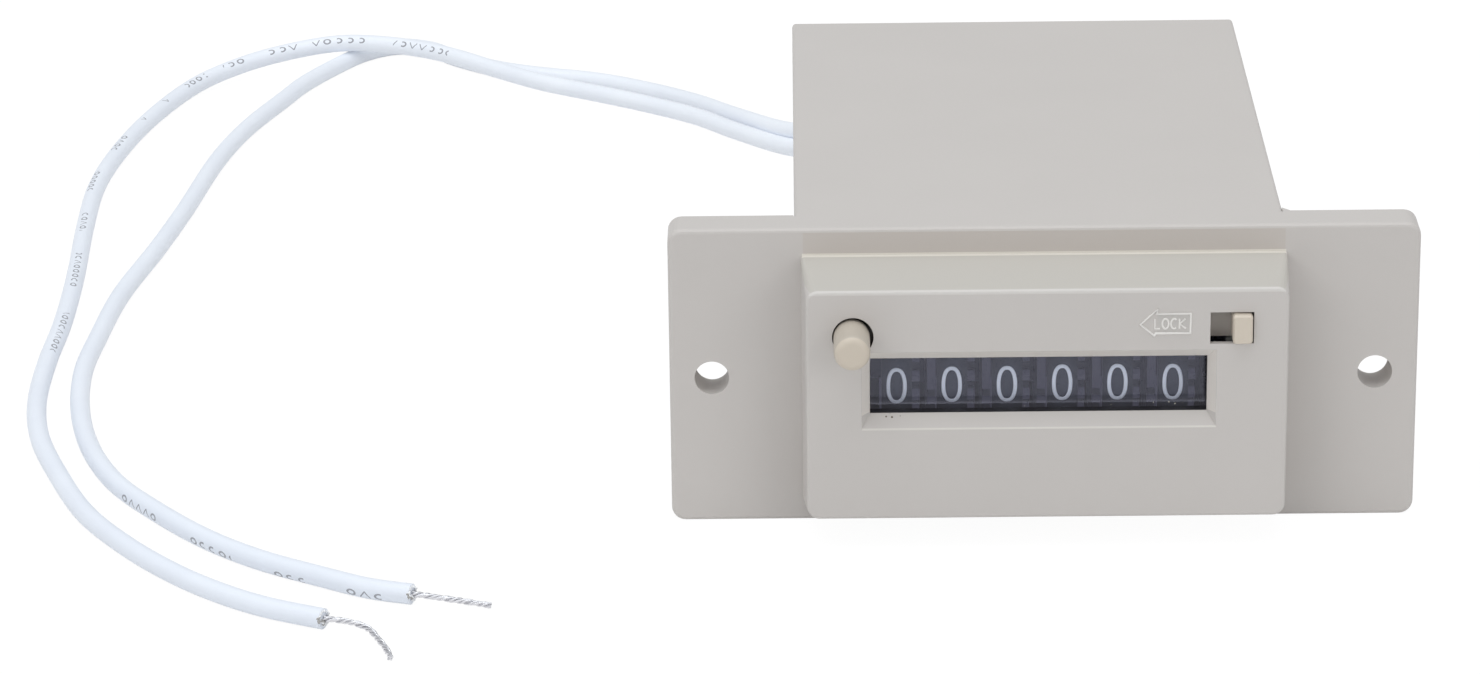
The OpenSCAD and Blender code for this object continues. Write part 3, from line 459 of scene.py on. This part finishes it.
def make_finishes():
    """The frame's own finishes by slot, and those of the added pieces by name."""
    finishes = {
        "case_plastic": moulded("case_plastic", (200, 195, 191), 0.52, 2, patches=CASE_PATCHES),
        "cream_plastic": moulded("cream_plastic", (210, 199, 184), 0.42, 3, patches=CREAM_PATCHES),
        "drum_plastic": drum_plastic(),
        "white_plastic": moulded("white_plastic", (228, 228, 220), 0.45, 3, patches=WHITE_PATCHES),
        "steel": plated("steel", (190, 190, 192), 0.26),
        "tinned_strands": plated("tinned_strands", (226, 226, 230), 0.3),
        "winding_wire": winding_copper(),
        "lead_insulation": insulation("lead_insulation", []),
        "clear_lens": clear_lens(),
    }
    dress_nodes(finishes)
    finishes["digit_print"] = moulded("digit_print", (212, 219, 236), 0.5, 4)
    for name, groups in LEAD_SIGNS.items():
        finishes[name] = insulation(name + "_insulation", groups)
    # The arrow's ridges, in the case's plastic but paler, a painted highlight
    finishes["raised_edge"] = moulded("raised_edge", (232, 229, 225), 0.45, 2)
    finishes["dust"] = moulded("dust", (190, 185, 175), 0.88, 12)
    finishes["dirt"] = moulded("dirt", (120, 112, 102), 0.88, 12)
    finishes["torn_plastic"] = torn_plastic()
    return finishes


# Geometry networks

PRINT_FLATNESS = 0.1
SPECK_SHAPE = (1.3, 0.5, 1.0)
SOCKET_KINDS = {float: "NodeSocketFloat", int: "NodeSocketInt", bpy.types.Material: "NodeSocketMaterial"}


class Shape(Network):
    """A Geometry Nodes tree with named inputs, which ends in real geometry with one material."""

    def __init__(self, name, **kinds):
        super().__init__(bpy.data.node_groups.new(name, "GeometryNodeTree"))
        self.keys = {}
        face = self.tree.interface
        face.new_socket(name="Geometry", in_out="INPUT", socket_type="NodeSocketGeometry")
        face.new_socket(name="Geometry", in_out="OUTPUT", socket_type="NodeSocketGeometry")
        for label, kind in {**kinds, "finish": bpy.types.Material}.items():
            made = face.new_socket(name=label, in_out="INPUT", socket_type=SOCKET_KINDS[kind])
            self.keys[label] = made.identifier
        self.entry = self.tree.nodes.new("NodeGroupInput")
        self.exit = self.tree.nodes.new("NodeGroupOutput")
        self.source = Term(self, self.entry.outputs["Geometry"])

    def size(self, label):
        return Term(self, self.entry.outputs[label])

    def end(self, made):
        smooth = self.node("GeometryNodeSetShadeSmooth", {"Geometry": made})
        real = self.node("GeometryNodeRealizeInstances", {"Geometry": smooth})
        dressed = self.node("GeometryNodeSetMaterial", {"Geometry": real, "Material": self.size("finish")})
        self.tree.links.new(dressed.socket, self.exit.inputs[0])
        return self

    def grow(self, name, mesh, **sizes):
        """Runs the tree on a mesh and gives the result back as a plain mesh object."""
        seed = bpy.data.objects.new(name + "_lines", mesh)
        bpy.context.scene.collection.objects.link(seed)
        modifier = seed.modifiers.new("shape", "NODES")
        modifier.node_group = self.tree
        for label, value in sizes.items():
            modifier[self.keys[label]] = value
        bpy.context.view_layer.update()
        graph = bpy.context.evaluated_depsgraph_get()
        shown = seed.evaluated_get(graph)
        result = bpy.data.meshes.new_from_object(shown, preserve_all_data_layers=True, depsgraph=graph)
        bpy.data.objects.remove(seed)
        grown = bpy.data.objects.new(name, result)
        bpy.context.scene.collection.objects.link(grown)
        return grown


def swept_shape(name, normals):
    """A round tube along every line of the mesh, which keeps where on its ring each point lies."""
    shape = Shape(name, radius=float, sides=int)
    lines = shape.node("GeometryNodeMeshToCurve", {"Mesh": shape.source})
    ring = shape.node("GeometryNodeCurvePrimitiveCircle", {
        "Resolution": shape.size("sides"), "Radius": shape.size("radius")})
    place = shape.vector("NORMALIZE", shape.node("GeometryNodeInputPosition"))
    marked = shape.node("GeometryNodeStoreNamedAttribute", {
        "Geometry": ring, "Name": "ring", "Value": place}, data_type="FLOAT_VECTOR", domain="POINT")
    upright = shape.node("GeometryNodeSetCurveNormal", {"Curve": lines}, mode=normals)
    tube = shape.node("GeometryNodeCurveToMesh", {
        "Curve": upright, "Profile Curve": marked, "Fill Caps": True})
    return shape.end(tube)


def wrapped_shape():
    """Thin printed strokes, drawn flat in X and Z and then laid round a drum.

    The strokes start as round tubes and keep only a share of their thickness on the drum."""
    shape = Shape("drum_print", stroke=float, drum=float, middle=float)
    lines = shape.node("GeometryNodeMeshToCurve", {"Mesh": shape.source})
    ring = shape.node("GeometryNodeCurvePrimitiveCircle", {
        "Resolution": 8, "Radius": shape.size("stroke") * 0.5})
    strokes = shape.node("GeometryNodeCurveToMesh", {
        "Curve": lines, "Profile Curve": ring, "Fill Caps": True})
    across, deep, high = shape.parts(shape.node("GeometryNodeInputPosition"))
    angle = high / shape.size("drum")
    reach = shape.size("drum") - deep * PRINT_FLATNESS
    wrapped = shape.node("ShaderNodeCombineXYZ", {
        0: across,
        1: reach * shape.maths("COSINE", angle) * -1.0,
        2: reach * shape.maths("SINE", angle) + shape.size("middle")})
    laid = shape.node("GeometryNodeSetPosition", {"Geometry": strokes, "Position": wrapped})
    return shape.end(laid)


def speck_shape():
    """A flattened speck at each point of the mesh, turned any way and as large as the point says."""
    shape = Shape("specks")
    size = shape.node("GeometryNodeInputNamedAttribute", {"Name": "size"}, data_type="FLOAT")
    bead = shape.node("GeometryNodeMeshIcoSphere", {"Radius": 1.0, "Subdivisions": 2})
    dots = shape.node("GeometryNodeMeshToPoints", {"Mesh": shape.source})
    turn = shape.node("FunctionNodeRandomValue", {
        0: (0, 0, 0), 1: (3, 3, 3), "Seed": 5}, data_type="FLOAT_VECTOR")
    sizes = shape.node("ShaderNodeCombineXYZ", {k: size * share for k, share in enumerate(SPECK_SHAPE)})
    laid = shape.node("GeometryNodeInstanceOnPoints", {
        "Points": dots, "Instance": bead, "Rotation": turn, "Scale": sizes})
    return shape.end(laid)


def between(pairs, x):
    """The value at x of a line drawn through pairs of x and value."""
    if x <= pairs[0][0]:
        return pairs[0][1]
    for (x0, v0), (x1, v1) in zip(pairs, pairs[1:]):
        if x <= x1:
            return v0 + (v1 - v0) * (x - x0) / (x1 - x0)
    return pairs[-1][1]


def line_mesh(name, lines, closed=(), turns=((0, 0),)):
    """A mesh of open lines, or closed ones where their numbers are given.

    Each point knows how far along it lies, and how far the line is turned there."""
    points, edges, lengths = [], [], []
    for number, line in enumerate(lines):
        start, run = len(points), 0.0
        for step, point in enumerate(line):
            if step:
                run += (Vector(point) - Vector(line[step - 1])).length
                edges.append((start + step - 1, start + step))
            points.append(point)
            lengths.append(run)
        if number in closed:
            edges.append((len(points) - 1, start))
    mesh = bpy.data.meshes.new(name)
    mesh.from_pydata(points, edges, [])
    along = mesh.attributes.new("along", "FLOAT", "POINT")
    along.data.foreach_set("value", lengths)
    turned = mesh.attributes.new("turn", "FLOAT", "POINT")
    turned.data.foreach_set("value", [between(turns, run / MM) for run in lengths])
    return mesh


# Leads

LEAD_RADIUS = 1.05 * MM
# Pieces between two points of a lead's route, and of a bare end's
LEAD_STEPS = 6
BARE_STEPS = 12
STRAND_RADIUS = 0.12 * MM
STRAND_OFFSET = 0.21 * MM
STRAND_PITCH = 2.9 * MM

# Points that the leads pass through, in millimetres, from the coil to the stripped ends
LEAD_ROUTES = {
    "lead_wire_1": [
        (-9.5, 58.5, 14.1), (-9.5, 66, 14.1), (-10, 74, 13), (-13, 82, 10.5), (-18.5, 89.5, 8),
        (-25, 96.5, 6), (-31.5, 106, 4.9), (-36.5, 114, 4.2), (-42.5, 120.5, 3.7), (-49, 126, 3.4),
        (-56, 131, 3.3), (-62, 136.5, 3.3), (-67, 141.5, 3.3), (-71.5, 145, 3.3), (-77, 147.5, 3.3),
        (-82.5, 148, 3.3), (-88.5, 146.5, 2.8), (-94.5, 143.5, 2), (-99.8, 137.5, 1.3),
        (-103.9, 125.7, 1.1), (-106.5, 112.6, 1.1), (-107.8, 99.3, 1.1), (-107.5, 84.6, 1.1),
        (-106.6, 67.6, 1.1), (-106.2, 52.5, 1.1), (-106.4, 39.8, 1.1), (-106, 28, 1.1),
        (-104.4, 17.6, 1.1), (-101.2, 7.1, 1.1), (-97.1, -3.6, 1.1), (-92, -12.2, 1.1),
        (-86.8, -19, 1.1), (-81.9, -24, 1.1), (-76.8, -27.9, 1.1), (-70.8, -31, 1.1)],
    "lead_wire_2": [
        (-9.5, 58.5, 16.5), (-9.5, 66, 16.5), (-10, 75, 15.6), (-13.5, 84, 12.8), (-19, 91.5, 9.8),
        (-25, 99, 7.2), (-31.5, 111.5, 5), (-36.5, 122.5, 3.2), (-42.8, 132, 1.8), (-49.5, 138, 1.2),
        (-57, 141, 1.1), (-62.5, 143.8, 1.1), (-67.5, 148, 1.1), (-71, 151.9, 1.1),
        (-75.4, 153.4, 1.1), (-79.3, 150.8, 1.1), (-82.6, 145.6, 1.1), (-86.1, 138.4, 1.1),
        (-88.2, 132.1, 1.1), (-91.9, 120.3, 1.1), (-94.4, 107.7, 1.1), (-96.4, 90.2, 1.1),
        (-98.3, 76.3, 1.1), (-100.7, 61.3, 1.1), (-101.7, 47.7, 1.1), (-102.1, 36.8, 1.1),
        (-101, 25, 1.1), (-98.6, 14.1, 1.1), (-95, 4.8, 1.1), (-90.2, -2.8, 1.1), (-84.3, -10.4, 1.1),
        (-78.4, -16, 1.1), (-72, -20.4, 1.1), (-67, -23.5, 1.1), (-62.6, -25.1, 1.1)],
}
BARE_ROUTES = {
    "bare_end_1": [(-70.8, -31, 1.1), (-68.3, -31.5, 1), (-66.4, -32.7, 0.8), (-65.2, -34.9, 0.55),
                   (-64.2, -37.4, 0.43), (-63.8, -39, 0.43)],
    "bare_end_2": [(-62.6, -25.1, 1.1), (-60.3, -25.3, 0.85), (-57.8, -25.7, 0.6), (-54.8, -26.6, 0.43)],
}
# How far round each lead's print lies, in turns from the top, at lengths in millimetres from the coil
PRINT_TURNS = {
    "lead_wire_1": [
        (107, -0.15), (122, -0.15), (137, -0.1), (185, 0.057), (199, 0.01), (213, -0.02), (240, -0.08)],
    "lead_wire_2": [(281, 0.235), (290, 0.25), (300, 0.285), (308, 0.33), (312, 0.335), (317, 0.3)],
}


def smooth_line(points, steps):
    """A line through the points, in metres, with steps pieces between each two."""
    given = [Vector(p) * MM for p in points]
    line = []
    last = len(given) - 1
    for i in range(last):
        a, b, c, d = given[max(i - 1, 0)], given[i], given[i + 1], given[min(i + 2, last)]
        for k in range(steps):
            t = k / steps
            line.append(0.5 * (2 * b + (c - a) * t + (2 * a - 5 * b + 4 * c - d) * t ** 2
                               + (3 * b - a - 3 * c + d) * t ** 3))
    line.append(given[-1])
    return line


def across_line(line, i):
    """Two directions square to the line at one of its points."""
    along = (line[min(i + 1, len(line) - 1)] - line[max(i - 1, 0)]).normalized()
    side = along.cross(Vector((0, 0, 1))).normalized()
    return side, side.cross(along)


def twisted_strands(line):
    """The lines of seven strands twisted together, one in the middle, none of them quite even."""
    strands = [list(line)]
    for k in range(6):
        strand, run = [], 0.0
        for i, point in enumerate(line):
            run += (point - line[i - 1]).length if i else 0.0
            drift = 0.5 * math.sin(900 * run + 2.1 * k)
            slack = 0.92 + 0.16 * math.sin(1400 * run + 1.7 * k * k)
            turn = 2 * math.pi * (run / STRAND_PITCH + k / 6) + drift
            reach = STRAND_OFFSET * slack
            side, up = across_line(line, i)
            strand.append(point + reach * (math.cos(turn) * side + math.sin(turn) * up))
        strands.append(strand)
    return strands


SHREDS = 34
SHRED_RISE = 0.18 * MM
# Turns and shares that never fall into step, so that the shreds lie unevenly
GOLDEN_TURN = 2.4
REACH_STEP = 0.618
SIZE_STEP = 0.377


def torn_rim(line):
    """Points over the cut end of a lead, each with the size of a shred of plastic."""
    last = len(line) - 1
    side, up = across_line(line, last)
    ahead = side.cross(up).normalized()
    if ahead.dot(line[last] - line[last - 1]) < 0:
        ahead = -ahead
    points, sizes = [], []
    for k in range(SHREDS):
        turn = GOLDEN_TURN * k
        reach = LEAD_RADIUS * (0.35 + 0.58 * ((k * REACH_STEP) % 1.0))
        rise = SHRED_RISE * math.sin(5.1 * k)
        points.append(line[last] + reach * (math.cos(turn) * side + math.sin(turn) * up) + rise * ahead)
        sizes.append((0.13 + 0.1 * ((k * SIZE_STEP) % 1.0)) * MM)
    return points, sizes


def point_mesh(name, points, sizes):
    """A mesh of loose points that know their sizes."""
    mesh = bpy.data.meshes.new(name)
    mesh.from_pydata(points, [], [])
    mesh.attributes.new("size", "FLOAT", "POINT").data.foreach_set("value", sizes)
    return mesh


def make_leads(tube, speck, finishes):
    """Two insulated leads with twisted bare strands and a ragged cut where the insulation ends."""
    for name, bare in (("lead_wire_1", "bare_end_1"), ("lead_wire_2", "bare_end_2")):
        line = smooth_line(LEAD_ROUTES[name], LEAD_STEPS)
        bare_line = smooth_line(BARE_ROUTES[bare], BARE_STEPS)
        sleeve = tube.grow(name + "_sleeve", line_mesh(name, [line], turns=PRINT_TURNS[name]),
                           radius=LEAD_RADIUS, sides=20, finish=finishes[name])
        strands = tube.grow(bare + "_strands", line_mesh(bare, twisted_strands(bare_line)),
                            radius=STRAND_RADIUS, sides=8, finish=finishes["tinned_strands"])
        shreds = speck.grow(name + "_cut_end", point_mesh(name + "_cut", *torn_rim(line)),
                            finish=finishes["torn_plastic"])
        for piece, node, held in ((sleeve, name, "lead_insulation"), (strands, bare, "tinned_strands")):
            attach(piece, "housing")
            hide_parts(node)
        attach(shreds, "housing")


# Numbers on the wheels

STROKE = 0.4 * MM
# Half of a digit's width and height, in millimetres
HALF_W = 0.83
HALF_H = 1.73
# How far each wheel's print stands above or below the row, because the wheels don't stop exactly in line
PRINT_LIFT = (-0.05, 0.05, 0.05, 0.16, 0.16, 0.11)
# Powers below 1 straighten the zero's sides and its ends
SIDE_POWER = 0.82
END_POWER = 0.9


def bow(middle, reach, start, end, steps=14):
    """Points on an oval arc, from one angle to another, in millimetres."""
    points = []
    for k in range(steps + 1):
        angle = math.radians(start + (end - start) * k / steps)
        points.append((middle[0] + reach[0] * math.cos(angle), middle[1] + reach[1] * math.sin(angle)))
    return points


def oval(steps=36):
    """A narrow upright ring with straightened sides."""
    points = []
    for k in range(steps):
        angle = 2 * math.pi * k / steps
        across = math.cos(angle)
        up = math.sin(angle)
        points.append((HALF_W * math.copysign(abs(across) ** SIDE_POWER, across),
                       HALF_H * math.copysign(abs(up) ** END_POWER, up)))
    return points


# Each digit's strokes, as points across and up from its middle, in millimetres
DIGITS = {
    0: [oval()],
    1: [[(-0.4, 1.15), (0.15, HALF_H), (0.15, -HALF_H)]],
    2: [bow((0, 0.9), (HALF_W, 0.85), 165, -25) + [(-HALF_W, -HALF_H), (HALF_W, -HALF_H)]],
    3: [bow((0, 0.92), (0.78, 0.83), 150, -90) + bow((0, -0.83), (HALF_W, 0.92), 90, -150)],
    4: [[(0.4, -HALF_H), (0.4, HALF_H), (-HALF_W, -0.75), (HALF_W, -0.75)]],
    5: [[(0.72, HALF_H), (-0.65, HALF_H), (-0.72, 0.3)] + bow((0, -0.68), (HALF_W, 1.07), 115, -150)],
    6: [bow((0, 0.6), (HALF_W, 1.15), 40, 180) + bow((0, -0.75), (HALF_W, 1.0), 180, 530)],
    7: [[(-HALF_W, HALF_H), (HALF_W, HALF_H), (-0.15, -HALF_H)]],
    8: [bow((0, 0.93), (0.72, 0.82), -90, 270) + bow((0, -0.82), (HALF_W, 0.93), 90, 450)],
    9: [bow((0, 0.75), (HALF_W, 1.0), 0, 350) + bow((0, -0.6), (HALF_W, 1.15), 0, -140)],
}


def make_digits(shape, finishes):
    """Ten digits round each number wheel, with the zeros in the window."""
    step = 2 * math.pi / DIGITS_ROUND * DRUM_RADIUS
    for number in range(WHEELS):
        middle = FIRST_DIGIT + number * DIGIT_PITCH
        lines, rings = [], []
        for digit, strokes in DIGITS.items():
            shift = PRINT_LIFT[number] * MM - digit * step
            for stroke in strokes:
                if digit == 0:
                    rings.append(len(lines))
                lines.append([(middle + x * MM, 0.0, shift + z * MM) for x, z in stroke])
        mesh = line_mesh(f"digits_{number + 1}", lines, rings)
        print_ = shape.grow(f"wheel_digits_{number + 1}", mesh, stroke=STROKE, drum=DRUM_RADIUS,
                            middle=WHEEL_HEIGHT, finish=finishes["digit_print"])
        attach(print_, f"wheel_{number + 1}")


# Moulded arrow by the lock slide

FACE_Y = -12.2 * MM
RIDGE_RADIUS = 0.155 * MM
WORD_RADIUS = 0.65 * RIDGE_RADIUS
# Points across and up on the bezel's face, in millimetres
ARROW = [[(10.72, 24.8), (14.1, 24.82), (14.1, 22.77), (10.68, 22.77), (10.52, 22.5), (9.15, 23.72),
          (10.84, 25.28)]]
LETTERS = [
    [(10.57, 24.3), (10.57, 23.25), (11.08, 23.25)],
    bow((11.62, 23.77), (0.31, 0.53), 0, 345, 16) + [(11.93, 23.77)],
    bow((12.47, 23.77), (0.31, 0.53), 50, 310, 12),
    [(13.0, 24.3), (13.0, 23.25)],
    [(13.58, 24.3), (13.03, 23.75), (13.62, 23.25)],
]


def on_face(lines):
    return [[(x * MM, FACE_Y, z * MM) for x, z in line] for line in lines]


def make_lock_arrow(tube, finishes):
    """The raised outline of an arrow and the word in it, which point to the locked side."""
    outline = line_mesh("arrow", on_face(ARROW), [0])
    word = line_mesh("word", on_face(LETTERS))
    for name, mesh, radius in (("lock_arrow", outline, RIDGE_RADIUS), ("lock_word", word, WORD_RADIUS)):
        raised = tube.grow(name, mesh, radius=radius, sides=10, finish=finishes["raised_edge"])
        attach(raised, "housing")


# Floor and light

# The floor lies just below the case, so that their faces don't coincide
FLOOR_DROP = -0.02 * MM
FLOOR_HALF = 6.0
FLOOR_GLOW = 1.06
# How much of the seen floor is plain white, and how much shows shadows
FLOOR_WHITENESS = 0.9
# Name, place and target in metres, width in metres, power in watts, and tint
LAMPS = [
    ("overhead", (-0.15, -0.1, 1.3), (0, 0, 0), 1.2, 9.5, (0.965, 1.0, 1.02)),
    ("front_left", (-0.9, -1.1, 0.75), (0, 0, 0.01), 0.8, 3.2, (1, 1, 1)),
    ("front_right", (0.9, -1.2, 0.6), (0, 0, 0.01), 0.8, 2.9, (1, 1, 1)),
]


def make_floor():
    """A wide pale floor that is seen white and keeps a faint shadow."""
    mesh = bpy.data.meshes.new("floor")
    sides = ((-1, -1), (1, -1), (1, 1), (-1, 1))
    corners = [(x * FLOOR_HALF, y * FLOOR_HALF, FLOOR_DROP) for x, y in sides]
    mesh.from_pydata(corners, [], [(0, 1, 2, 3)])
    floor = bpy.data.objects.new("floor", mesh)
    bpy.context.scene.collection.objects.link(floor)
    paper = Finish("floor_paper", Roughness=0.9, Specular_IOR_Level=0.2)
    paper.set("Base Color", (0.8, 0.8, 0.8, 1))
    glow = paper.node("ShaderNodeEmission", {"Color": (1, 1, 1, 1), "Strength": FLOOR_GLOW})
    seen = paper.node("ShaderNodeLightPath", out=0)
    mirrored = paper.node("ShaderNodeLightPath", out=3)
    through = paper.node("ShaderNodeLightPath", out=6)
    looked_at = paper.maths("MAXIMUM", paper.maths("MAXIMUM", seen, mirrored), through)
    base = Term(paper, paper.shader.outputs[0])
    mixed = paper.node("ShaderNodeMixShader", {0: looked_at * FLOOR_WHITENESS, 1: base, 2: glow})
    paper.tree.links.new(mixed.socket, paper.output.inputs[0])
    mesh.materials.append(paper.material)


def make_surroundings():
    """Soft, slightly blue light from all round, in a white room."""
    world = bpy.data.worlds.new("studio")
    world.use_nodes = True
    bpy.context.scene.world = world
    net = Network(world.node_tree)
    world.node_tree.nodes.clear()
    direct = net.node("ShaderNodeLightPath", out=0)
    soft = net.node("ShaderNodeBackground", {"Color": (0.97, 0.985, 1, 1), "Strength": 0.52})
    white = net.node("ShaderNodeBackground", {"Color": (1, 1, 1, 1), "Strength": 1.0})
    mixed = net.node("ShaderNodeMixShader", {0: direct, 1: soft, 2: white})
    out = net.tree.nodes.new("ShaderNodeOutputWorld")
    net.tree.links.new(mixed.socket, out.inputs[0])


def lamp(name, place, target, size, power, tint):
    """A square lamp that faces its target."""
    data = bpy.data.lights.new(name, "AREA")
    data.shape = "SQUARE"
    data.size = size
    data.energy = power
    data.color = tint
    light = bpy.data.objects.new(name, data)
    light.location = place
    light.rotation_euler = (Vector(target) - Vector(place)).to_track_quat("-Z", "Y").to_euler()
    bpy.context.scene.collection.objects.link(light)


# Dust

# Each speck's place across and up, and its size, in millimetres
LENS_DUST = [(10.7, 14.55, 0.05), (12.25, 14.6, 0.07), (12.85, 14.4, 0.08), (-2.1, 14.3, 0.05),
             (6.5, 14.35, 0.04), (13.6, 14.5, 0.03), (-14.5, 14.4, 0.03)]
BEVEL_DUST = [(-15.9, 13.85, 0.09), (-15.3, 13.8, 0.11), (-14.5, 13.9, 0.05), (-15.5, 14.1, 0.04)]
# Depths on the front, in millimetres
LENS_FRONT = -9.81
# The back edge of the window's lower bevel, in depth and height, and how far it comes forward as it falls
BEVEL_BACK = (-11, 14.15)
BEVEL_FALL = 1.2 / 1.3


def bevel_depth(z):
    """How deep the window's lower bevel lies at a height."""
    return BEVEL_BACK[0] - BEVEL_FALL * (BEVEL_BACK[1] - z)


def scatter(speck, name, specks, finish):
    """Specks of dust on the front, each given by its place and size in millimetres."""
    points = [(x * MM, y * MM, z * MM) for x, y, z, _ in specks]
    sizes = [size * MM for _, _, _, size in specks]
    dust = speck.grow(name, point_mesh(name, points, sizes), finish=finish)
    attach(dust, "housing")


def make_dust(speck, finishes):
    """A few specks at the bottom of the lens and on the bevel below it."""
    on_lens = [(x, LENS_FRONT, z, size) for x, z, size in LENS_DUST]
    on_bevel = [(x, bevel_depth(z), z, size) for x, z, size in BEVEL_DUST]
    scatter(speck, "lens_dust", on_lens, finishes["dust"])
    scatter(speck, "bevel_dust", on_bevel, finishes["dirt"])


bpy.context.scene.view_settings.view_transform = "Standard"
place_camera()
surface_finishes = make_finishes()
speck = speck_shape()
make_leads(swept_shape("lead_tube", "Z_UP"), speck, surface_finishes)
make_digits(wrapped_shape(), surface_finishes)
make_lock_arrow(swept_shape("ridge_tube", "MINIMUM_TWIST"), surface_finishes)
make_dust(speck, surface_finishes)
make_floor()
make_surroundings()
for row in LAMPS:
    lamp(*row)
